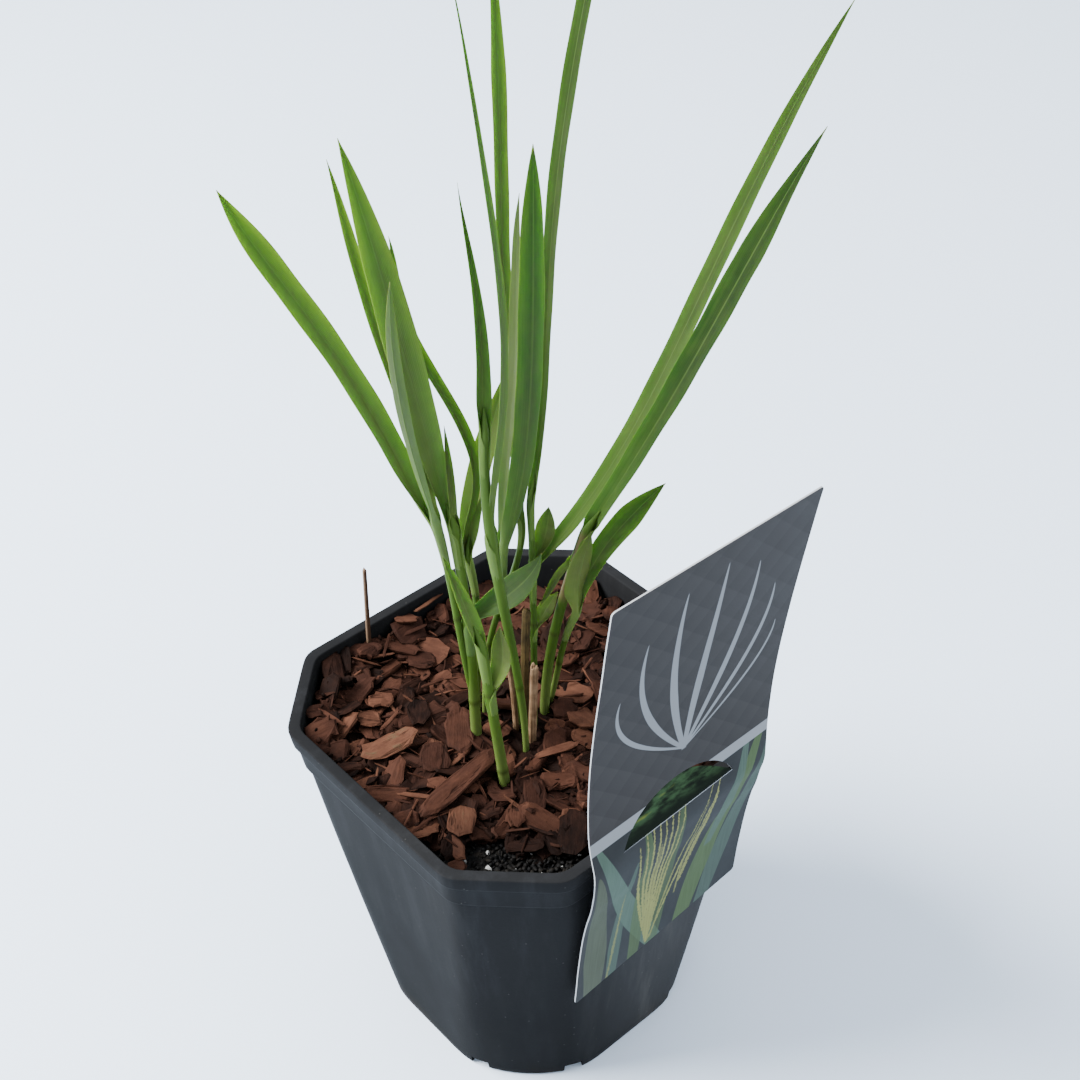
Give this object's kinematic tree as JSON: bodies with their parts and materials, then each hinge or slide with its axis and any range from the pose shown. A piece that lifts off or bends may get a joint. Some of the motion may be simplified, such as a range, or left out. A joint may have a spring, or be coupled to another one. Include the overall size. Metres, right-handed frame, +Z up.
{
  "type": "potted switchgrass",
  "caption": "Young upright clump of narrow green grass blades in a square dark nursery pot with blunt corners, mulched with bark, with a tall care label hung on the rim.",
  "frame": {"origin": "middle of the pot's foot, on the surface it stands on", "axes": "+Z up; the pot's flat sides face +X, -X, +Y and -Y, and the care label hangs on the -Y side"},
  "size_m": [0.1921, 0.1546, 0.4185],
  "materials": {
    "pot_plastic": "semi-matt moulded polypropylene, charcoal, lightly scuffed and dusty",
    "mix": "damp dark peat and bark fines with white perlite specks",
    "bark": "red-brown pine bark flakes, some orange and some grey",
    "foliage": "satin green grass blades and stems with fine lengthwise veins",
    "straw": "dry tan straw",
    "dead_stem": "dry brown stem",
    "label_plastic": "satin printed sheet plastic, dark grey with a lighter printed panel, pale cut edges"
  },
  "bodies": {
    "root": {"pot": "pot_plastic", "potting_mix": "mix", "bark_mulch": "bark", "tiller_front_left": "foliage", "tiller_left": "foliage", "tiller_shaded": "foliage", "tiller_middle": "foliage", "tiller_inner_left": "foliage", "tiller_inner_right": "foliage", "tiller_centre_right": "foliage", "tiller_right": "foliage", "tiller_low_right": "foliage", "cut_stub": "straw", "broken_culm": "dead_stem", "dead_sheath": "straw", "dry_stick": "dead_stem", "care_label": "label_plastic"}
  },
  "joints": []
}
